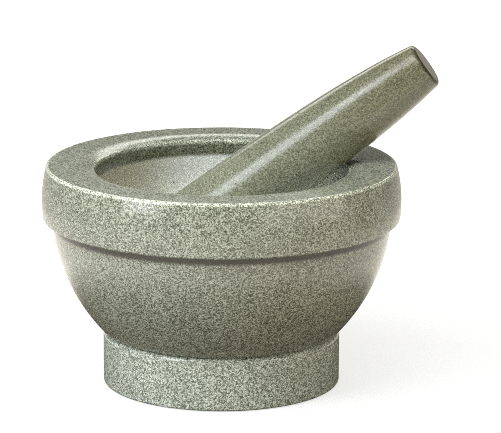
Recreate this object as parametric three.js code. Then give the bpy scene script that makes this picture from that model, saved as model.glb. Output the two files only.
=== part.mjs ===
// Granite mortar and pestle, a smooth turned molcajete.
// Millimetres, +Z up. The origin is the centre of the foot's flat underside, and the mortar's
// axis is Z. The pestle lies in the bowl: its round end on the wall, its shaft on the lip.
import * as THREE from "three";

// --- Mortar, outside ---
const HEIGHT = 124; // foot's underside to the flat of the rim
const FOOT_RADIUS = 66.3;
const FOOT_HEIGHT = 29.4;
const FOOT_BASE_ROUND = 1.2;
const FOOT_SHOULDER_ROUND = 2.4;
const GROOVE_RADIUS = 62.8; // bottom of the turned groove between foot and bowl
const GROOVE_HEIGHT = 0.8;
const BOWL_START_HEIGHT = 30.6; // the bowl's wall comes out of the groove here
const BOWL_ARC_RADIUS = 102.9; // the outer wall is one arc, struck from just past the axis
const BOWL_ARC_CENTRE = { r: -7.8, z: 101.7 };
const BAND_RADIUS = 100.2; // widest, a little above the band's middle
const BAND_UNDERSIDE = 94; // height of the ledge under the rim band
const BAND_BARREL_RADIUS = 75; // how gently the band bulges
const BAND_WIDEST_HEIGHT = 104;
const BAND_LOWER_ROUND = 1.2;
const BAND_UPPER_ROUND = 0.9;
const LEDGE_COVE = 1.2;

// --- Mortar, inside ---
const LIP_START_RADIUS = 81.4; // where the flat of the rim begins to slope into the bowl
const LIP_SLOPE = THREE.MathUtils.degToRad(12.5);
const LIP_RADIUS = 70.8; // inside the lip's crisp edge
const LIP_ROUND = 1; // how far that edge is eased
const MOUTH = { r: 69.5, z: 117.5 }; // the bowl's half ellipse starts here
const BOWL_FLOOR = 42; // height of the lowest point inside

// --- Pestle ---
const PESTLE_LENGTH = 192.5;
const HANDLE_END_RADIUS = 12.95;
const HANDLE_END_ROUND = 3;
const SHAFT_LIMIT_RADIUS = 21.8; // the shaft swells towards this radius, quickly at first
const SHAFT_SWELL_LENGTH = 48;
const ROUND_END_RADIUS = 21.6;
const ROUND_END_CENTRE = new THREE.Vector3(-22.8, 21.1, 77.3); // 0.5 mm clear of the wall
const PESTLE_RISE = THREE.MathUtils.degToRad(36.7); // above the horizontal
const PESTLE_TURN = THREE.MathUtils.degToRad(-6); // handle end turned from +X towards -Y

const MORTAR_SEGMENTS = 60;
const PESTLE_SEGMENTS = 36;
const SHAFT_STEPS = 12;

const granite = new THREE.MeshStandardMaterial({
  color: 0x8f9281,
  roughness: 0.3,
  metalness: 0,
});
const pestleGranite = new THREE.MeshStandardMaterial({
  color: 0x868b76,
  roughness: 0.25,
  metalness: 0,
});

// Points on an ellipse in the section plane, from one angle to another in degrees. Angle 0 points
// away from the axis and 90 points up.
function arc(centre, radii, from, to, steps) {
  return Array.from({ length: steps + 1 }, (_, i) => {
    const angle = THREE.MathUtils.degToRad(from + ((to - from) * i) / steps);
    return new THREE.Vector2(
      centre.r + radii.r * Math.cos(angle),
      centre.z + radii.z * Math.sin(angle),
    );
  });
}

function roundArc(r, z, radius, from, to, steps) {
  return arc({ r, z }, { r: radius, z: radius }, from, to, steps);
}

// The angle at which a circle of this radius, centred at height centreZ, reaches height z.
function angleAtHeight(z, centreZ, radius) {
  return THREE.MathUtils.radToDeg(Math.asin((z - centreZ) / radius));
}

// Turns a closed section about Z. LatheGeometry turns about Y, so the result is tipped upright.
function turned(section, segments) {
  return new THREE.LatheGeometry(section, segments).rotateX(Math.PI / 2);
}

function footSection() {
  const base = FOOT_BASE_ROUND;
  const shoulder = FOOT_SHOULDER_ROUND;
  return [
    new THREE.Vector2(0, 0),
    ...roundArc(FOOT_RADIUS - base, base, base, -90, 0, 2),
    ...roundArc(FOOT_RADIUS - shoulder, FOOT_HEIGHT - shoulder, shoulder, 0, 90, 3),
    new THREE.Vector2(GROOVE_RADIUS, FOOT_HEIGHT),
    new THREE.Vector2(GROOVE_RADIUS, FOOT_HEIGHT + GROOVE_HEIGHT),
  ];
}

function outerBowlSection() {
  const { r, z } = BOWL_ARC_CENTRE;
  const bottom = angleAtHeight(BOWL_START_HEIGHT, z, BOWL_ARC_RADIUS);
  const top = angleAtHeight(BAND_UNDERSIDE - LEDGE_COVE, z, BOWL_ARC_RADIUS);
  const wall = roundArc(r, z, BOWL_ARC_RADIUS, bottom, top, 8);
  const wallTop = wall[wall.length - 1];
  const cove = roundArc(wallTop.x + LEDGE_COVE, wallTop.y, LEDGE_COVE, 180, 90, 2);
  return [...wall, ...cove.slice(1)];
}

function rimSection() {
  const barrelCentre = BAND_RADIUS - BAND_BARREL_RADIUS;
  const lower = BAND_UNDERSIDE + BAND_LOWER_ROUND;
  const upper = HEIGHT - BAND_UPPER_ROUND;
  const barrel = roundArc(
    barrelCentre,
    BAND_WIDEST_HEIGHT,
    BAND_BARREL_RADIUS,
    angleAtHeight(lower, BAND_WIDEST_HEIGHT, BAND_BARREL_RADIUS),
    angleAtHeight(upper, BAND_WIDEST_HEIGHT, BAND_BARREL_RADIUS),
    5,
  );
  const lowerEdge = barrel[0].x - BAND_LOWER_ROUND;
  const upperEdge = barrel[barrel.length - 1].x - BAND_UPPER_ROUND;
  return [
    ...roundArc(lowerEdge, lower, BAND_LOWER_ROUND, -90, 0, 2).slice(0, -1),
    ...barrel,
    ...roundArc(upperEdge, upper, BAND_UPPER_ROUND, 0, 90, 2).slice(1),
  ];
}

// The rim slopes in gently to the lip's edge, which is eased, and the bowl starts below it.
function insideSection() {
  const easedEdge = LIP_RADIUS + LIP_ROUND; // distance of the easing's centre from the axis
  const slopeEnd = easedEdge - LIP_ROUND * Math.sin(LIP_SLOPE);
  const slopeEndHeight = HEIGHT - (LIP_START_RADIUS - slopeEnd) * Math.tan(LIP_SLOPE);
  const centreHeight = slopeEndHeight - LIP_ROUND * Math.cos(LIP_SLOPE);
  const slopeAngle = 90 + THREE.MathUtils.radToDeg(LIP_SLOPE);
  const lip = roundArc(easedEdge, centreHeight, LIP_ROUND, slopeAngle, 180, 3);
  const wall = arc({ r: 0, z: MOUTH.z }, { r: MOUTH.r, z: MOUTH.z - BOWL_FLOOR }, 0, -90, 12);
  wall[wall.length - 1].x = 0;
  return [new THREE.Vector2(LIP_START_RADIUS, HEIGHT), ...lip, ...wall];
}

function makeMortar() {
  const section = [...footSection(), ...outerBowlSection(), ...rimSection(), ...insideSection()];
  const mortar = new THREE.Mesh(turned(section, MORTAR_SEGMENTS), granite);
  mortar.name = "mortar";
  return mortar;
}

// Shaft radius at a distance from the handle end.
function shaftRadius(distance) {
  const shortfall = SHAFT_LIMIT_RADIUS - HANDLE_END_RADIUS;
  return SHAFT_LIMIT_RADIUS - shortfall * Math.exp(-distance / SHAFT_SWELL_LENGTH);
}

// The pestle's own axis is Z here, with its round end's centre at the origin.
function pestleSection() {
  const shaftLength = PESTLE_LENGTH - ROUND_END_RADIUS;
  const roundEnd = roundArc(0, 0, ROUND_END_RADIUS, -90, 0, 7);
  roundEnd[0].x = 0;
  const shaft = [];
  for (let i = 1; i <= SHAFT_STEPS; i += 1) {
    const height = ((shaftLength - HANDLE_END_ROUND) * i) / SHAFT_STEPS;
    shaft.push(new THREE.Vector2(shaftRadius(shaftLength - height), height));
  }
  const shaftTop = shaft[SHAFT_STEPS - 1];
  const edge = roundArc(shaftTop.x - HANDLE_END_ROUND, shaftTop.y, HANDLE_END_ROUND, 0, 90, 3);
  return [...roundEnd, ...shaft, ...edge.slice(1), new THREE.Vector2(0, shaftLength)];
}

function makePestle() {
  const pestle = new THREE.Mesh(turned(pestleSection(), PESTLE_SEGMENTS), pestleGranite);
  pestle.name = "pestle";
  pestle.rotation.set(0, Math.PI / 2 - PESTLE_RISE, PESTLE_TURN, "ZYX");
  pestle.position.copy(ROUND_END_CENTRE);
  return pestle;
}

const mortarAndPestle = new THREE.Group();
mortarAndPestle.add(makeMortar(), makePestle());

export default mortarAndPestle;
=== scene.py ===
# %% [markdown]
# # A turned granite mortar and pestle
# This lesson builds the fine, visible surfaces of a two-piece kitchen tool around its CAD model: a
# mortar turned from one block of speckled grey-green granite, and a loose tapered pestle that leans
# on its lip. The CAD model fixes every size and place, so it is loaded first and never changed.

import math

import bpy
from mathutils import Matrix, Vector


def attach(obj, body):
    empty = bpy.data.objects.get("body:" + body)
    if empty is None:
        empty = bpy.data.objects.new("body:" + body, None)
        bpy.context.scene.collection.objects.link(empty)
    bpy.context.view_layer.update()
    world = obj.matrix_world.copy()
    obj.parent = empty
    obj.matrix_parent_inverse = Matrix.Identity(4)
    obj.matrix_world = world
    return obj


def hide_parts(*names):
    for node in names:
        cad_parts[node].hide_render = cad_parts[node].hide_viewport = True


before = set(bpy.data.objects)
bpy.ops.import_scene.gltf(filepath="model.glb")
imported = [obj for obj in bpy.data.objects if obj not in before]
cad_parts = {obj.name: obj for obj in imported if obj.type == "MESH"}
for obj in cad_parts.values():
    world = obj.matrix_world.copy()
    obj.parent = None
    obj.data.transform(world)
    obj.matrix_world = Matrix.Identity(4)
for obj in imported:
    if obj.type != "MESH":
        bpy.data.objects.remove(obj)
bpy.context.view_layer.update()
MM = 0.001

# %% [markdown]
# ## The viewpoint
# Both pieces are seen from the front and a little above the rim, from far enough away that the
# rings stay nearly true ellipses. A long lens from nearly 1.9 m does that. The camera is placed first,
# so that every later cell can be judged from the same place.

# %% Camera
EYE = Vector((0, -1.7945, 0.5278))
LOOK_DOWN = math.radians(13.598)
LOOK_RIGHT = math.radians(0.5135)
TILT = math.radians(0.2556)


def place_camera():
    camera_data = bpy.data.cameras.new("camera")
    camera_data.lens = 237.52
    camera_data.sensor_width = 36
    camera = bpy.data.objects.new("camera", camera_data)
    bpy.context.scene.collection.objects.link(camera)
    forward = Vector(
        (
            math.sin(LOOK_RIGHT) * math.cos(LOOK_DOWN),
            math.cos(LOOK_RIGHT) * math.cos(LOOK_DOWN),
            -math.sin(LOOK_DOWN),
        )
    )
    level = Vector((math.cos(LOOK_RIGHT), -math.sin(LOOK_RIGHT), 0))
    upright = level.cross(forward)
    right = level * math.cos(TILT) + upright * math.sin(TILT)
    up = upright * math.cos(TILT) - level * math.sin(TILT)
    turn = camera.rotation_euler.to_matrix()
    turn.col[0], turn.col[1], turn.col[2] = right, up, -forward
    camera.rotation_euler = turn.to_euler()
    camera.location = EYE
    bpy.context.scene.camera = camera
    return camera


camera = place_camera()
print("camera looks along", [round(c, 3) for c in camera.matrix_basis.to_3x3() @ Vector((0, 0, -1))])

# %% [markdown]
# ## Arithmetic inside a node tree
# Both pieces are turned on a lathe, so each is one section line swept round an axis, and a node
# tree with named sizes can draw that section. Sums of sizes need many Math nodes. A small wrapper
# lets the code write them as ordinary sums, and each operator adds the node that it stands for.

# %% Sums of sizes
class Size:
    """A number inside a node tree, which can be added, multiplied and so on."""

    def __init__(self, tree, socket):
        self.tree = tree
        self.socket = socket

    def worked(self, operation, *others, swap=False):
        node = self.tree.nodes.new("ShaderNodeMath")
        node.operation = operation
        values = (*others, self) if swap else (self, *others)
        for slot, value in zip(node.inputs, values):
            feed(self.tree, slot, value)
        return Size(self.tree, node.outputs[0])

    def __add__(self, other):
        return self.worked("ADD", other)

    def __sub__(self, other):
        return self.worked("SUBTRACT", other)

    def __rsub__(self, other):
        return self.worked("SUBTRACT", other, swap=True)

    def __mul__(self, other):
        return self.worked("MULTIPLY", other)

    def __truediv__(self, other):
        return self.worked("DIVIDE", other)

    __radd__ = __add__
    __rmul__ = __mul__


def feed(tree, slot, value):
    """Gives a socket its value: a plain number, or a link from a Size or another socket."""
    if isinstance(value, Size):
        tree.links.new(value.socket, slot)
    elif isinstance(value, bpy.types.NodeSocket):
        tree.links.new(value, slot)
    else:
        slot.default_value = value


def vector_of(tree, x=0.0, y=0.0, z=0.0):
    node = tree.nodes.new("ShaderNodeCombineXYZ")
    for slot, value in zip(node.inputs, (x, y, z)):
        feed(tree, slot, value)
    return node.outputs[0]


# %% [markdown]
# ## A tree whose sizes are its inputs
# The sizes of a piece are kept in one small table in the code, in millimetres. Each row becomes an
# input of the tree with the same name, so the finished tree can be opened and changed by hand. The
# modifier keeps its values under each socket's identifier, so they are set through that.

# %% Trees with named sizes
def new_tree(name, sizes, sides):
    """A tree with one input for each size. Returns it with its sizes, its sides and its finish."""
    tree = bpy.data.node_groups.new(name, "GeometryNodeTree")
    tree.interface.new_socket("Turned stone", in_out="OUTPUT", socket_type="NodeSocketGeometry")
    tree.interface.new_socket("Blank", in_out="INPUT", socket_type="NodeSocketGeometry")
    for label in sizes:
        tree.interface.new_socket(label, in_out="INPUT", socket_type="NodeSocketFloat")
    tree.interface.new_socket(sides, in_out="INPUT", socket_type="NodeSocketInt")
    tree.interface.new_socket("Finish", in_out="INPUT", socket_type="NodeSocketMaterial")
    entry = tree.nodes.new("NodeGroupInput")
    size = {label: Size(tree, entry.outputs[label]) for label in sizes}
    return tree, size, entry.outputs[sides], entry.outputs["Finish"]


def run_tree(tree, name, values):
    """Runs the tree on an empty blank and returns its result as a plain mesh object."""
    blank = bpy.data.objects.new(name + "_blank", bpy.data.meshes.new(name + "_blank"))
    bpy.context.scene.collection.objects.link(blank)
    modifier = blank.modifiers.new("turning", "NODES")
    modifier.node_group = tree
    for item in tree.interface.items_tree:
        if item.item_type == "SOCKET" and item.in_out == "INPUT" and item.name in values:
            modifier[item.identifier] = values[item.name]
    graph = bpy.context.evaluated_depsgraph_get()
    mesh = bpy.data.meshes.new_from_object(
        blank.evaluated_get(graph), preserve_all_data_layers=True, depsgraph=graph
    )
    mesh.name = name
    blank.modifiers.remove(modifier)
    bpy.data.objects.remove(blank)
    piece = bpy.data.objects.new(name, mesh)
    bpy.context.scene.collection.objects.link(piece)
    print(f"{name}: {len(mesh.vertices)} points, {len(mesh.polygons)} faces")
    return piece


# %% [markdown]
# ## The lathe
# A section is drawn flat, with x as the distance from the axis and y as the height. Its arcs and
# lines are joined, their points are strung on one line in order, and that line is swept round a
# circle. The first and last points lie on the axis, so each end closes in one point once doubles
# are merged. Stone that has been ground and polished by hand is never quite true, so the surface
# is moved in and out by a few hundredths of a millimetre in slow waves.

# %% The lathe's nodes
CIRCLE_RADIUS = 1.0  # the sweep's own circle, taken away again from the section's distance
WAVE_LENGTH = 32.0  # from one slow wave in the stone's surface to the next
SAME_POINT = 0.005  # points closer than this are one point


def arc_in(tree, centre, radii, start, sweep, points):
    """Part of an ellipse as a curve. Angle 0 points away from the axis and 90 degrees points up."""
    arc = tree.nodes.new("GeometryNodeCurveArc")
    arc.mode = "RADIUS"
    feed(tree, arc.inputs["Resolution"], points)
    feed(tree, arc.inputs["Radius"], 1.0)
    feed(tree, arc.inputs["Start Angle"], start)
    feed(tree, arc.inputs["Sweep Angle"], sweep)
    place = tree.nodes.new("GeometryNodeTransform")
    tree.links.new(arc.outputs["Curve"], place.inputs["Geometry"])
    tree.links.new(vector_of(tree, centre[0], centre[1]), place.inputs["Translation"])
    tree.links.new(vector_of(tree, radii[0], radii[1], 1.0), place.inputs["Scale"])
    return place.outputs["Geometry"]


def line_in(tree, start, end, points):
    """A straight line as a curve of evenly spaced points."""
    line = tree.nodes.new("GeometryNodeCurvePrimitiveLine")
    tree.links.new(vector_of(tree, *start), line.inputs["Start"])
    tree.links.new(vector_of(tree, *end), line.inputs["End"])
    spread = tree.nodes.new("GeometryNodeResampleCurve")
    tree.links.new(line.outputs["Curve"], spread.inputs["Curve"])
    feed(tree, spread.inputs["Count"], points)
    return spread.outputs["Curve"]


def string_together(tree, parts):
    """One line through the points of all the parts, in the order given."""
    ordered = None
    for number, part in enumerate(parts):
        dots = tree.nodes.new("GeometryNodeCurveToPoints")
        dots.mode = "EVALUATED"
        tree.links.new(part, dots.inputs["Curve"])
        mark = tree.nodes.new("GeometryNodeStoreNamedAttribute")
        mark.data_type = "FLOAT"
        mark.domain = "POINT"
        place = tree.nodes.new("GeometryNodeInputIndex")
        rank = Size(tree, place.outputs[0]) + number * 1000.0
        tree.links.new(dots.outputs["Points"], mark.inputs["Geometry"])
        feed(tree, mark.inputs["Name"], "rank")
        feed(tree, mark.inputs["Value"], rank)
        if ordered is None:
            ordered = tree.nodes.new("GeometryNodeJoinGeometry")
        tree.links.new(mark.outputs["Geometry"], ordered.inputs["Geometry"])
    rank = tree.nodes.new("GeometryNodeInputNamedAttribute")
    rank.data_type = "FLOAT"
    feed(tree, rank.inputs["Name"], "rank")
    strung = tree.nodes.new("GeometryNodePointsToCurves")
    tree.links.new(ordered.outputs["Geometry"], strung.inputs["Points"])
    tree.links.new(rank.outputs["Attribute"], strung.inputs["Weight"])
    clean = tree.nodes.new("GeometryNodeRemoveAttribute")
    tree.links.new(strung.outputs["Curves"], clean.inputs["Geometry"])
    feed(tree, clean.inputs["Name"], "rank")
    return clean.outputs["Geometry"]


def sweep_round(tree, section, sides, finish, unevenness):
    """Sweeps the section round the Z axis, and gives the stone its slight unevenness and finish."""
    shift = tree.nodes.new("GeometryNodeTransform")
    tree.links.new(section, shift.inputs["Geometry"])
    feed(tree, shift.inputs["Translation"], (-CIRCLE_RADIUS, 0, 0))
    feed(tree, shift.inputs["Scale"], (1, -1, 1))
    circle = tree.nodes.new("GeometryNodeCurvePrimitiveCircle")
    feed(tree, circle.inputs["Resolution"], sides)
    feed(tree, circle.inputs["Radius"], CIRCLE_RADIUS)
    upright = tree.nodes.new("GeometryNodeSetCurveNormal")
    tree.links.new(circle.outputs["Curve"], upright.inputs["Curve"])
    sweep = tree.nodes.new("GeometryNodeCurveToMesh")
    tree.links.new(upright.outputs["Curve"], sweep.inputs["Curve"])
    tree.links.new(shift.outputs["Geometry"], sweep.inputs["Profile Curve"])
    outwards = tree.nodes.new("GeometryNodeFlipFaces")
    tree.links.new(sweep.outputs["Mesh"], outwards.inputs["Mesh"])
    merge = tree.nodes.new("GeometryNodeMergeByDistance")
    tree.links.new(outwards.outputs["Mesh"], merge.inputs["Geometry"])
    feed(tree, merge.inputs["Distance"], SAME_POINT)
    waves = tree.nodes.new("ShaderNodeTexNoise")
    feed(tree, waves.inputs["Scale"], 1 / WAVE_LENGTH)
    feed(tree, waves.inputs["Detail"], 1.0)
    depth = (Size(tree, waves.outputs["Fac"]) - 0.5) * unevenness
    outward = tree.nodes.new("GeometryNodeInputNormal")
    along = tree.nodes.new("ShaderNodeVectorMath")
    along.operation = "SCALE"
    tree.links.new(outward.outputs["Normal"], along.inputs["Vector"])
    feed(tree, along.inputs["Scale"], depth)
    worked = tree.nodes.new("GeometryNodeSetPosition")
    tree.links.new(merge.outputs["Geometry"], worked.inputs["Geometry"])
    tree.links.new(along.outputs["Vector"], worked.inputs["Offset"])
    smooth = tree.nodes.new("GeometryNodeSetShadeSmooth")
    tree.links.new(worked.outputs["Geometry"], smooth.inputs["Geometry"])
    whole = tree.nodes.new("GeometryNodeRealizeInstances")
    tree.links.new(smooth.outputs["Geometry"], whole.inputs["Geometry"])
    dressed = tree.nodes.new("GeometryNodeSetMaterial")
    tree.links.new(whole.outputs["Geometry"], dressed.inputs["Geometry"])
    tree.links.new(finish, dressed.inputs["Material"])
    return dressed.outputs["Geometry"]


def close_tree(tree, geometry):
    out = tree.nodes.new("NodeGroupOutput")
    tree.links.new(geometry, out.inputs["Turned stone"])
    print(f"tree {tree.name}: {len(tree.nodes)} nodes")


# %% [markdown]
# ## The mortar's section
# The mortar is one block of stone, turned and ground round. It could be modelled by hand as a mesh,
# but one section line with named sizes keeps every edge true all round. From the middle of its
# underside outwards and up, that line has a straight foot with eased edges, a narrow turned groove,
# the bowl's wall on one large arc, a small ledge, the broad rim band with its slight bulge, the flat
# of the rim, a lip that rolls in to a crisp edge, and the bowl itself, which is half an ellipse. The
# CAD model cuts the lip straight across, and the roll here stands on the same two ends. The sizes are
# in millimetres, and the lip's roll is an angle.

# %% The mortar's tree
MORTAR = {
    "Height": 124.0,
    "Foot radius": 66.3,
    "Foot height": 29.4,
    "Foot base round": 1.2,
    "Foot shoulder round": 2.4,
    "Groove radius": 62.8,
    "Groove height": 0.8,
    "Bowl start height": 30.6,
    "Bowl arc radius": 102.9,
    "Bowl arc centre distance": -7.8,
    "Bowl arc centre height": 101.7,
    "Ledge height": 94.0,
    "Ledge cove": 1.2,
    "Band radius": 100.2,
    "Band bulge radius": 75.0,
    "Band widest height": 104.0,
    "Band lower round": 1.2,
    "Band upper round": 1.5,
    "Lip start radius": 81.4,
    "Lip roll": math.radians(25.0),
    "Lip radius": 70.8,
    "Lip round": 1.0,
    "Mouth radius": 69.5,
    "Mouth height": 117.5,
    "Bowl floor height": 42.0,
    "Unevenness": 0.25,
}
MORTAR_SIDES = 256
QUARTER = math.pi / 2


def rise_angle(height, centre_height, radius):
    """The angle at which a circle of this radius reaches this height."""
    return ((height - centre_height) / radius).worked("ARCSINE")


def mortar_section(tree, s):
    base, shoulder = s["Foot base round"], s["Foot shoulder round"]
    bowl_r, bowl_z, bowl = (
        s["Bowl arc centre distance"],
        s["Bowl arc centre height"],
        s["Bowl arc radius"],
    )
    low = rise_angle(s["Bowl start height"], bowl_z, bowl)
    high = rise_angle(s["Ledge height"] - s["Ledge cove"], bowl_z, bowl)
    wall_top = bowl_r + bowl * high.worked("COSINE")
    bulge, widest = s["Band bulge radius"], s["Band widest height"]
    lower, upper = s["Band lower round"], s["Band upper round"]
    bulge_r = s["Band radius"] - bulge
    bulge_low = rise_angle(s["Ledge height"] + lower, widest, bulge)
    bulge_high = rise_angle(s["Height"] - upper, widest, bulge)
    lower_edge = bulge_r + bulge * bulge_low.worked("COSINE") - lower
    upper_edge = bulge_r + bulge * bulge_high.worked("COSINE") - upper
    lip_start, roll, ease = s["Lip start radius"], s["Lip roll"], s["Lip round"]
    eased_edge = s["Lip radius"] + ease
    roll_radius = (lip_start - eased_edge) / roll.worked("SINE") + ease
    ease_height = s["Height"] - roll_radius + (roll_radius - ease) * roll.worked("COSINE")
    floor_radius = s["Foot radius"] - base
    return [
        line_in(tree, (0.0, 0.0), (floor_radius * 0.98, 0.0), 6),
        arc_in(tree, (floor_radius, base), (base, base), -QUARTER, QUARTER, 5),
        line_in(
            tree,
            (s["Foot radius"], base * 1.3),
            (s["Foot radius"], s["Foot height"] - shoulder * 1.1),
            8,
        ),
        arc_in(
            tree,
            (s["Foot radius"] - shoulder, s["Foot height"] - shoulder),
            (shoulder, shoulder),
            0.0,
            QUARTER,
            8,
        ),
        line_in(
            tree,
            (s["Groove radius"], s["Foot height"]),
            (s["Groove radius"], s["Foot height"] + s["Groove height"]),
            3,
        ),
        arc_in(tree, (bowl_r, bowl_z), (bowl, bowl), low, high - low, 32),
        arc_in(
            tree,
            (wall_top + s["Ledge cove"], s["Ledge height"] - s["Ledge cove"]),
            (s["Ledge cove"], s["Ledge cove"]),
            math.pi - 0.2,
            0.2 - QUARTER,
            4,
        ),
        arc_in(
            tree, (lower_edge, s["Ledge height"] + lower), (lower, lower), -QUARTER, QUARTER, 6
        ),
        arc_in(tree, (bulge_r, widest), (bulge, bulge), bulge_low, bulge_high - bulge_low, 16),
        arc_in(tree, (upper_edge, s["Height"] - upper), (upper, upper), 0.0, QUARTER, 6),
        line_in(tree, (upper_edge * 0.995, s["Height"]), (lip_start * 1.005, s["Height"]), 8),
        arc_in(
            tree,
            (lip_start, s["Height"] - roll_radius),
            (roll_radius, roll_radius),
            QUARTER,
            roll * 0.97,
            12,
        ),
        arc_in(tree, (eased_edge, ease_height), (ease, ease), roll + QUARTER, QUARTER - roll, 7),
        arc_in(
            tree,
            (0.0, s["Mouth height"]),
            (s["Mouth radius"], s["Mouth height"] - s["Bowl floor height"]),
            0.0,
            -QUARTER,
            44,
        ),
    ]


print("mortar sizes:", len(MORTAR))

# %% [markdown]
# ## Turning the mortar
# The tree is made once, its inputs take the sizes above, and the swept result is scaled from
# millimetres to metres. The finish is a material that the granite cell fills in later, so an empty
# one with the right name is enough here.

# %% Turn the mortar
def finished_size(tree, geometry, turn=(0.0, 0.0, 0.0), place=(0.0, 0.0, 0.0)):
    """Scales the stone from millimetres to metres, and turns and moves it to where it rests."""
    rest = tree.nodes.new("GeometryNodeTransform")
    tree.links.new(geometry, rest.inputs["Geometry"])
    feed(tree, rest.inputs["Rotation"], turn)
    feed(tree, rest.inputs["Translation"], [c * MM for c in place])
    feed(tree, rest.inputs["Scale"], (MM, MM, MM))
    return rest.outputs["Geometry"]


def turn_mortar(finish):
    tree, size, sides, stone = new_tree("turned mortar", MORTAR, "Sides")
    section = string_together(tree, mortar_section(tree, size))
    swept = sweep_round(tree, section, sides, stone, size["Unevenness"])
    close_tree(tree, finished_size(tree, swept))
    return run_tree(tree, "mortar_stone", {**MORTAR, "Sides": MORTAR_SIDES, "Finish": finish})


mortar_finish = bpy.data.materials.new("mortar granite")
mortar = turn_mortar(mortar_finish)

# %% [markdown]
# ## Turning the pestle
# The pestle is thin at its handle end and swells towards the grinding end, quickly at first and
# then hardly at all. An exponential gives just that line. The grinding end is half a ball and the
# handle end is flat with an eased edge. Here its own axis is upright, with the ball's centre at
# the origin, and the tree's last step leans it into the bowl.

# %% Turn the pestle
PESTLE = {
    "Length": 192.5,
    "Handle end radius": 12.95,
    "Handle edge round": 3.0,
    "Limit radius": 21.8,
    "Swell length": 48.0,
    "Round end radius": 21.6,
    "Unevenness": 0.2,
}
PESTLE_SIDES = 128
PESTLE_REST = Vector((-22.8, 21.1, 77.3))  # the ball's centre when the pestle leans in the bowl
PESTLE_RISE = 36.7  # degrees above the horizontal
PESTLE_SIDEWAYS = -6  # degrees round the mortar's axis
PESTLE_TURN = (0.0, math.radians(90 - PESTLE_RISE), math.radians(PESTLE_SIDEWAYS))


def pestle_section(tree, s):
    ball, edge = s["Round end radius"], s["Handle edge round"]
    top = s["Length"] - ball
    shaft = tree.nodes.new("GeometryNodeSetPosition")
    tree.links.new(line_in(tree, (0.0, 1.0), (0.0, top - edge), 60), shaft.inputs["Geometry"])
    where = tree.nodes.new("GeometryNodeInputPosition")
    parts = tree.nodes.new("ShaderNodeSeparateXYZ")
    tree.links.new(where.outputs["Position"], parts.inputs["Vector"])
    from_handle = top - Size(tree, parts.outputs["Y"])
    shrink = (from_handle / s["Swell length"] * -1.0).worked("EXPONENT")
    radius = s["Limit radius"] - (s["Limit radius"] - s["Handle end radius"]) * shrink
    offset = vector_of(tree, radius)
    tree.links.new(offset, shaft.inputs["Offset"])
    edge_shrink = (edge / s["Swell length"] * -1.0).worked("EXPONENT")
    shaft_end = s["Limit radius"] - (s["Limit radius"] - s["Handle end radius"]) * edge_shrink
    return [
        arc_in(tree, (0.0, 0.0), (ball, ball), -QUARTER, QUARTER, 28),
        shaft.outputs["Geometry"],
        arc_in(tree, (shaft_end - edge, top - edge), (edge, edge), 0.0, QUARTER, 9),
        line_in(tree, ((shaft_end - edge) * 0.95, top), (0.0, top), 5),
    ]


def turn_pestle(finish):
    tree, size, sides, stone = new_tree("turned pestle", PESTLE, "Sides")
    section = string_together(tree, pestle_section(tree, size))
    swept = sweep_round(tree, section, sides, stone, size["Unevenness"])
    close_tree(tree, finished_size(tree, swept, PESTLE_TURN, PESTLE_REST))
    return run_tree(tree, "pestle_stone", {**PESTLE, "Sides": PESTLE_SIDES, "Finish": finish})


pestle_finish = bpy.data.materials.new("pestle granite")
pestle = turn_pestle(pestle_finish)

# %% [markdown]
# ## Patterns in a material
# Granite has no picture on it: its pattern runs through the block, and every cut shows another slice
# of it. A painted image would stretch and repeat on a round surface, so the patterns are made from
# the points of space itself. A few small helpers keep the material's nodes readable.

# %% Pattern helpers
def add(tree, kind, **settings):
    node = tree.nodes.new(kind)
    for name, value in settings.items():
        setattr(node, name, value)
    return node


def mix_colours(tree, share, first, second, blend="MIX"):
    node = add(tree, "ShaderNodeMix", data_type="RGBA", blend_type=blend)
    feed(tree, node.inputs[0], share)
    feed(tree, node.inputs[6], first)
    feed(tree, node.inputs[7], second)
    return node.outputs[2]


def ramp(tree, value, stops):
    node = add(tree, "ShaderNodeValToRGB")
    feed(tree, node.inputs["Fac"], value)
    elements = node.color_ramp.elements
    while len(elements) < len(stops):
        elements.new(0.5)
    for element, (position, colour) in zip(elements, stops):
        element.position = position
        element.color = colour
    return node.outputs["Color"]


def smooth_step(tree, value, start, end):
    """0 up to the start and 1 past the end, with a soft change between."""
    node = add(tree, "ShaderNodeMapRange", interpolation_type="SMOOTHSTEP")
    feed(tree, node.inputs["Value"], value)
    feed(tree, node.inputs["From Min"], start)
    feed(tree, node.inputs["From Max"], end)
    return Size(tree, node.outputs["Result"])


def clouds_in(tree, point, size):
    node = add(tree, "ShaderNodeTexNoise")
    feed(tree, node.inputs["Vector"], point)
    feed(tree, node.inputs["Scale"], 1 / size)
    feed(tree, node.inputs["Detail"], 2.0)
    return Size(tree, node.outputs["Fac"])


def cells_in(tree, point, size):
    """Splits space into rounded cells, and gives the node that knows them."""
    cells = add(tree, "ShaderNodeTexVoronoi", feature="F1")
    feed(tree, cells.inputs["Vector"], point)
    feed(tree, cells.inputs["Scale"], 1 / size)
    return cells


def grain_pattern(tree, point, grain_size):
    """A number for each grain, the same all over the grain and different from its neighbours'."""
    parts = add(tree, "ShaderNodeSeparateColor")
    tree.links.new(cells_in(tree, point, grain_size).outputs["Color"], parts.inputs["Color"])
    return Size(tree, parts.outputs["Red"])


print("pattern helpers ready")

# %% [markdown]
# ## Speckled granite
# The stone is a close mix of pale feldspar, grey-green grains and near-black ones, each about half
# a millimetre across. A Voronoi pattern splits space into grains, and each grain draws its own
# colour from a short ramp. A second, finer pattern breaks the grains up, and slow clouds make some
# parts a little darker, as in real stone. A few small pits are dark, because polish doesn't reach
# them. All patterns read Object coordinates, so the grains run through the stone as in a block.

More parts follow.
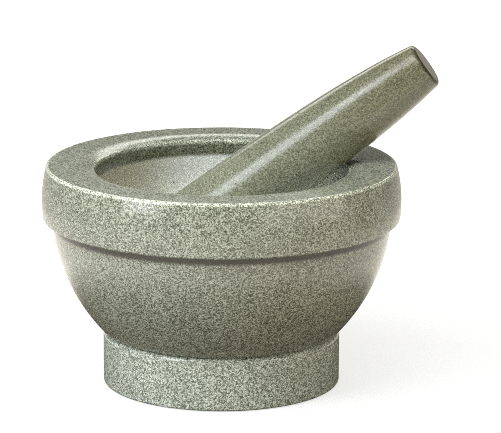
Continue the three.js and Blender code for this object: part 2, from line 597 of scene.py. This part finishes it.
# %% Granite
DARK_GRAIN = (0.040, 0.044, 0.032, 1)
GREEN_GRAIN = (0.190, 0.205, 0.150, 1)
PALE_GRAIN = (0.480, 0.490, 0.395, 1)
WHITE_GRAIN = (0.780, 0.790, 0.690, 1)
GRAIN_COLOURS = [(0.20, DARK_GRAIN), (0.40, GREEN_GRAIN), (0.62, PALE_GRAIN), (0.86, WHITE_GRAIN)]
PIT = (0.018, 0.017, 0.012, 1)
MIXED_GRAIN = (0.33, 0.34, 0.27, 1)  # the grains seen from afar, all mixed
GRAIN_SIZE = 0.56 * MM
FINE_GRAIN_SIZE = 0.36 * MM
CLOUD_SIZE = 26 * MM
PIT_SPACING = 11 * MM
RELIEF_DEPTH = 0.3 * MM
HONED_RELIEF = 0.35
POLISHED_RELIEF = 0.03
PIT_RIM = (0.04, 0.09)  # as shares of the spacing


def granite(material, work_on, polish_tint, evenness):
    """Fills a material with polished granite, and with honed granite where work_on says.

    work_on returns how far the stone is honed, and a list of places with the shade of each.
    polish_tint is the polished stone's own tone, and evenness evens out its grains."""
    material.use_nodes = True
    tree = material.node_tree
    shader = tree.nodes["Principled BSDF"]
    point = add(tree, "ShaderNodeTexCoord").outputs["Object"]
    grain = grain_pattern(tree, point, GRAIN_SIZE)
    fine = grain_pattern(tree, point, FINE_GRAIN_SIZE)
    clouds = clouds_in(tree, point, CLOUD_SIZE)
    lot = grain * 0.78 + fine * 0.16 + clouds * 0.12 - 0.03
    stone = ramp(tree, lot, GRAIN_COLOURS)
    pits = cells_in(tree, point, PIT_SPACING)
    pit = 1.0 - smooth_step(tree, pits.outputs["Distance"], *PIT_RIM)
    stone = mix_colours(tree, evenness, stone, MIXED_GRAIN)
    surface = mix_colours(tree, 1.0, stone, polish_tint, "MULTIPLY")
    honed, shades = work_on(tree, point)
    ground = mix_colours(tree, HONED_VEIL, stone, HONED_DUST)
    surface = mix_colours(tree, honed, surface, ground)
    for share, shade in shades:
        surface = mix_colours(tree, share, surface, shade, "MULTIPLY")
        surface.node.clamp_result = True  # a paler shade never goes past white
    coloured = mix_colours(tree, pit * 0.8, surface, PIT)
    tree.links.new(coloured, shader.inputs["Base Color"])
    rough = POLISHED_ROUGHNESS + honed * (HONED_ROUGHNESS - POLISHED_ROUGHNESS) + pit * 0.3
    feed(tree, shader.inputs["Roughness"], rough)
    relief = add(tree, "ShaderNodeBump")
    feed(tree, relief.inputs["Distance"], RELIEF_DEPTH)
    feed(tree, relief.inputs["Strength"], honed * HONED_RELIEF + POLISHED_RELIEF)
    feed(tree, relief.inputs["Height"], grain - pit * 2.0)
    tree.links.new(relief.outputs["Normal"], shader.inputs["Normal"])
    print(f"{material.name}: {len(tree.nodes)} nodes")


print("grain colours:", len(GRAIN_COLOURS))

# %% [markdown]
# ## Polished outside, honed inside
# The outside, the rim and a collar just below the lip's edge are polished, and the collar is darkened
# with painted shade. Below the collar the bowl is only honed, since a polished wall wouldn't grip what
# is ground. Its grey dust makes it paler and flat; lower down it is paler still with painted light,
# and its left side is browner and darker with painted shade. The pestle's round end is honed for the
# same reason, and the rest of it is polished, with painted light on its lower shaft and painted shade
# on its handle and end face. The foot is paler and bluer with painted light, the rim's two edges carry
# a painted highlight, and the corner under the band is darkened with painted shade. One material for
# each stone does it all: heights and distances from the axis say where each shade lies.

# %% Finishes
POLISHED_ROUGHNESS = 0.21
HONED_ROUGHNESS = 0.62
HONED_VEIL = 0.50
HONED_DUST = (0.94, 0.97, 0.91, 1)
# painted light: the honed bowl made paler low down, where light gathers
BOWL_PAINTED_LIGHT = (1.38, 1.39, 1.38, 1)
# painted shade: the left side of the honed bowl browner and darker, as if in shadow
LEFT_WALL_PAINTED_SHADE = (0.80, 0.76, 0.64, 1)
# painted shade: darkens the polished collar just inside the lip, as if in shadow
COLLAR_PAINTED_SHADE = (0.46, 0.465, 0.39, 1)
# painted light: the foot made paler and bluer, as if lit from low in front
FOOT_PAINTED_LIGHT = (1.82, 1.86, 2.02, 1)
# painted shade: darkens the corner under the band, where shadow falls
CORNER_PAINTED_SHADE = (0.13, 0.105, 0.07, 1)
# painted highlight along the rim's outer edge and, more faintly, the lip's edge
EDGE_PAINTED_HIGHLIGHT = (2.0, 2.0, 2.05, 1)
# painted shade: darkens the handle half of the pestle
HANDLE_PAINTED_SHADE = (0.78, 0.75, 0.66, 1)
# painted shade: darkens the pestle's flat handle end face
END_FACE_PAINTED_SHADE = (0.40, 0.37, 0.30, 1)
ROUND_END_SHADE = (0.52, 0.52, 0.49, 1)
# painted light: the pestle's lower shaft made paler towards the grinding end
LOW_SHAFT_PAINTED_LIGHT = (1.28, 1.28, 1.30, 1)

print("roughness, polished and honed:", POLISHED_ROUGHNESS, HONED_ROUGHNESS)

# %% [markdown]
# ## Places on the mortar
# The mortar is round, so a height and a distance from its axis name any ring on it. Each place has a
# short span over which its shade comes in, because a wheel and a cloth leave no hard borders.

# %% Where the mortar is honed and shaded
# Each pair is where a change of shade starts and where it is complete, in millimetres.
BOWL_MOUTH = (71.5, 72.5)  # distance from the axis
HONED_TOP = (112.1, 115.1)
COLLAR_TOP = (119.0, 121.6)
BOWL_FLOOR = (41.0, 41.2)
BOWL_LIGHT_TOP = (84.0, 108.0)
SHADED_LEFT_SIDE = (-60.0, -12.0)  # along X
FOOT_TOP = (29.0, 30.4)
CORNER_BOTTOM = (88.4, 90.8)
CORNER_TOP = (93.9, 94.3)
CORNER_INNER = (90.0, 91.0)  # distance from the axis
CORNER_OUTER = (98.2, 98.8)  # distance from the axis
RIM_EDGE = (220.1, 220.6)  # distance from the axis and height together, for the upper outer edge
LIP_EDGE = (72.0, 72.8)  # distance from the axis
LIP_EDGE_BOTTOM = (119.8, 120.6)
LIP_HIGHLIGHT_SHARE = 0.4  # of the rim edge's painted highlight


def past(tree, value, span):
    """0 before the span and 1 after it, with the span in millimetres."""
    return smooth_step(tree, value, span[0] * MM, span[1] * MM)


def mortar_work(tree, point):
    """How far the mortar is honed, 1 in the bowl below the collar, and each shaded place."""
    parts = add(tree, "ShaderNodeSeparateXYZ")
    tree.links.new(point, parts.inputs["Vector"])
    x, y, z = (Size(tree, parts.outputs[axis]) for axis in "XYZ")
    from_axis = (x * x + y * y).worked("SQRT")
    inside = (1.0 - past(tree, from_axis, BOWL_MOUTH)) * past(tree, z, BOWL_FLOOR)
    honed = inside * (1.0 - past(tree, z, HONED_TOP))
    # the collar, darkened with painted shade
    collar = inside * (1.0 - past(tree, z, COLLAR_TOP)) * (1.0 - honed)
    # the bowl's lower wall, lightened with painted light
    low_bowl_painted_light = honed * (1.0 - past(tree, z, BOWL_LIGHT_TOP))
    # the bowl's left wall, darkened with painted shade
    left_painted_shade = honed * (1.0 - past(tree, x, SHADED_LEFT_SIDE))
    # the foot, lightened with painted light
    foot = 1.0 - past(tree, z, FOOT_TOP)
    # the corner under the band, darkened with painted shade
    corner = past(tree, z, CORNER_BOTTOM) * (1.0 - past(tree, z, CORNER_TOP))
    corner = corner * past(tree, from_axis, CORNER_INNER)
    corner = corner * (1.0 - past(tree, from_axis, CORNER_OUTER))
    # the rim's two edges, lightened with a painted highlight
    lip_edge = (1.0 - past(tree, from_axis, LIP_EDGE)) * past(tree, z, LIP_EDGE_BOTTOM)
    edge = past(tree, from_axis + z, RIM_EDGE) + lip_edge * LIP_HIGHLIGHT_SHARE
    return honed, [
        (collar, COLLAR_PAINTED_SHADE),
        (foot, FOOT_PAINTED_LIGHT),
        (corner, CORNER_PAINTED_SHADE),
        (edge, EDGE_PAINTED_HIGHLIGHT),
        (low_bowl_painted_light, BOWL_PAINTED_LIGHT),
        (left_painted_shade, LEFT_WALL_PAINTED_SHADE),
    ]


print("collar from", HONED_TOP[0], "to", COLLAR_TOP[1], "mm up")

# %% [markdown]
# ## Places on the pestle
# The pestle leans, so its places are told by how far they lie along its own axis from the centre of
# its round end, in millimetres. A dot product with the axis gives that distance at any point.

# %% Where the pestle is honed and shaded
HONED_END = (-4.0, 6.0)
# where the painted light on the lower shaft fades out
LIT_LOW_SHAFT_SPAN = (20.0, 75.0)
# where the painted shade on the handle comes in
SHADED_HANDLE_SPAN = (60.0, 165.0)
# where the painted shade on the end face comes in
END_FACE_SPAN = (168.6, 170.6)


def pestle_work(tree, point):
    """How far the pestle is honed, 1 at its round end, and each shaded place."""
    rise, side = math.radians(PESTLE_RISE), math.radians(PESTLE_SIDEWAYS)
    along = Vector(
        (math.cos(rise) * math.cos(side), math.cos(rise) * math.sin(side), math.sin(rise))
    )
    reach = add(tree, "ShaderNodeVectorMath", operation="DOT_PRODUCT")
    tree.links.new(point, reach.inputs[0])
    feed(tree, reach.inputs[1], along)
    from_ball = Size(tree, reach.outputs["Value"]) - along.dot(PESTLE_REST) * MM
    honed = 1.0 - past(tree, from_ball, HONED_END)
    return honed, [
        (honed, ROUND_END_SHADE),
        (past(tree, from_ball, SHADED_HANDLE_SPAN), HANDLE_PAINTED_SHADE),
        (1.0 - past(tree, from_ball, LIT_LOW_SHAFT_SPAN), LOW_SHAFT_PAINTED_LIGHT),
        (past(tree, from_ball, END_FACE_SPAN), END_FACE_PAINTED_SHADE),
    ]


# the handle's darkening printed here is painted shade
print("shaft darkened by the hand from", SHADED_HANDLE_SPAN[0], "to", SHADED_HANDLE_SPAN[1], "mm")

# %% [markdown]
# ## Filling both stones
# The two stones come from the same kind of granite, but not from one block. The pestle's stone is
# darker and greener, and its grains are closer in tone, so it gets its own tint and evenness.

# %% Fill both stones
MORTAR_TINT = (0.76, 0.785, 0.725, 1)
PESTLE_TINT = (0.59, 0.595, 0.50, 1)
MORTAR_EVENNESS = 0.25
PESTLE_EVENNESS = 0.55

granite(mortar_finish, mortar_work, MORTAR_TINT, MORTAR_EVENNESS)
granite(pestle_finish, pestle_work, PESTLE_TINT, PESTLE_EVENNESS)

# %% [markdown]
# ## Each piece and its body
# The mortar stands still and the pestle is a body of its own, so each fine piece rides on the body
# of the CAD node that it stands for, and that node's own part is hidden.

# %% Ride on the CAD bodies
for piece, body, slot_name in (
    (mortar, "mortar", "mortar_granite"),
    (pestle, "pestle", "pestle_granite"),
):
    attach(piece, body)
    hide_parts(body)

# %% [markdown]
# ## The floor
# The set is a plain pale floor. Polished stone shows what stands round it, and on an evenly pale
# floor the bowl would lose its dark underside. So the stone's reflections see a floor that is dark
# near the foot and pale further out, while the viewer sees it pale all over.

# %% Floor
PALE_FLOOR = (0.40, 0.40, 0.395, 1)  # what the viewer sees
FLOOR_LIFT = 1.75  # how strongly the seen floor is lifted towards white
FLOOR_SPREAD = (0.12, 0.70)  # metres from the axis, over which that lift grows by a third or so
FLOOR_GROWTH = 0.35
DARK_TABLE = (0.10, 0.078, 0.05, 1)  # what the stone reflects near the foot
PALE_TABLE = (0.80, 0.75, 0.68, 1)  # what it reflects further out
TABLE_EDGE = (0.12, 0.22)  # metres from the axis, from dark to pale
TABLE_FADE = (0.30, 0.55)  # metres from the axis, where the pale part fades
TABLE_FADED = 0.45  # how far it fades
TABLE_LIFT = 1.1


def make_floor():
    mesh = bpy.data.meshes.new("floor")
    reach, drop = 6.0, -0.0004
    corners = [(-reach, -reach), (reach, -reach), (reach, reach), (-reach, reach)]
    mesh.from_pydata([(x, y, drop) for x, y in corners], [], [(0, 1, 2, 3)])
    floor = bpy.data.objects.new("floor", mesh)
    bpy.context.scene.collection.objects.link(floor)
    material = bpy.data.materials.new("pale floor")
    material.use_nodes = True
    tree = material.node_tree
    shader = tree.nodes["Principled BSDF"]
    point = add(tree, "ShaderNodeTexCoord").outputs["Object"]
    distance = add(tree, "ShaderNodeVectorMath", operation="LENGTH")
    tree.links.new(point, distance.inputs[0])
    far = smooth_step(tree, distance.outputs["Value"], *TABLE_EDGE)
    far = far * (1.0 - smooth_step(tree, distance.outputs["Value"], *TABLE_FADE) * TABLE_FADED)
    # every ray but the camera's, bounced light as well as reflections, sees this dark-to-pale floor
    reflected = mix_colours(tree, far, DARK_TABLE, PALE_TABLE)
    light_path = add(tree, "ShaderNodeLightPath")
    seen_directly = light_path.outputs["Is Camera Ray"]
    colour = mix_colours(tree, seen_directly, reflected, PALE_FLOOR)
    tree.links.new(colour, shader.inputs["Base Color"])
    feed(tree, shader.inputs["Roughness"], 0.9)
    away = smooth_step(tree, distance.outputs["Value"], *FLOOR_SPREAD)
    lift = Size(tree, seen_directly) * (away * FLOOR_GROWTH + 1.0) * FLOOR_LIFT
    # painted reflection: the pale part glows, but only in the stone's reflections
    mirrored = Size(tree, light_path.outputs["Is Glossy Ray"]) * far * TABLE_LIFT
    tree.links.new(colour, shader.inputs["Emission Color"])
    feed(tree, shader.inputs["Emission Strength"], lift + mirrored)
    mesh.materials.append(material)
    return floor


floor = make_floor()
print("floor reaches", round(floor.dimensions.x, 1), "m across")

# %% [markdown]
# ## The room
# For the same reason the stone reflects a dim room with a pale ceiling and a pale low wall, while
# the viewer sees it as pale as the floor.

# %% Room
CEILING = (0.66, 0.66, 0.65, 1)
CEILING_FROM = (0.70, 0.85)  # how far up the reflected ray points, 1 being straight up
LOW_WALL = (0.70, 0.66, 0.57, 1)
LOW_WALL_TO = (0.05, 0.22)
DIM_ROOM = (0.0, 0.0, 0.0, 1)
PALE_ROOM = (0.98, 0.98, 0.975, 1)


def light_room():
    """A dim room for the stone to reflect, which the camera sees as pale as the floor."""
    world = bpy.data.worlds.new("pale room")
    bpy.context.scene.world = world
    world.use_nodes = True
    tree = world.node_tree
    direction = add(tree, "ShaderNodeSeparateXYZ")
    tree.links.new(add(tree, "ShaderNodeTexCoord").outputs["Generated"], direction.inputs["Vector"])
    up = Size(tree, direction.outputs["Z"])
    room = mix_colours(tree, smooth_step(tree, up, *CEILING_FROM), DIM_ROOM, CEILING)
    room = mix_colours(tree, 1.0 - smooth_step(tree, up, *LOW_WALL_TO), room, LOW_WALL)
    seen_directly = add(tree, "ShaderNodeLightPath").outputs["Is Camera Ray"]
    colour = mix_colours(tree, seen_directly, room, PALE_ROOM)
    tree.links.new(colour, tree.nodes["Background"].inputs["Color"])


light_room()
print("room:", bpy.context.scene.world.name)

# %% [markdown]
# ## Four soft lights
# A tall narrow light at the left front makes the streak on the pestle and the bright patch on the
# band. A broad one high in front lights the whole bowl. A low card at the right lifts the shaded
# side, and a low wide panel behind draws the line of light along the lip and the pestle's top.

# %% Lights
def soft_light(name, turn, rise, distance, width, height, power, colour):
    """A rectangular light aimed at the mortar. turn is degrees to the right of the viewer."""
    data = bpy.data.lights.new(name, "AREA")
    data.shape = "RECTANGLE"
    data.size, data.size_y = width, height
    data.energy = power
    data.color = colour
    light = bpy.data.objects.new(name, data)
    bpy.context.scene.collection.objects.link(light)
    a, e = math.radians(turn), math.radians(rise)
    out = Vector((math.sin(a) * math.cos(e), -math.cos(a) * math.cos(e), math.sin(e)))
    light.location = Vector((0, 0, 0.09)) + out * distance
    light.rotation_euler = out.to_track_quat("Z", "Y").to_euler()
    light.visible_camera = False
    return light


soft_light("window light", -50, 30, 0.9, 0.35, 0.80, 7.2, (0.92, 0.966, 1.058))
soft_light("high broad light", -20, 64, 1.1, 1.0, 0.5, 7.0, (1.0, 1.0, 0.99))
soft_light("low right card", 52, 6, 0.9, 1.0, 0.30, 2.0, (1.0, 0.95, 0.85))
soft_light("rear panel", 180, 31, 0.9, 0.9, 0.20, 2.2, (1.0, 0.98, 0.93))

# %% [markdown]
# ## Crisp grain
# The grains are hardly wider than what the eye can part at this distance. Smoothing would wash them
# out, so the picture is left unsmoothed and its filter is kept narrow.

# %% Crisp grain
bpy.context.scene.view_settings.view_transform = "Standard"
bpy.context.scene.cycles.filter_width = 1.0
bpy.context.scene.cycles.use_denoising = False
print("view transform:", bpy.context.scene.view_settings.view_transform)
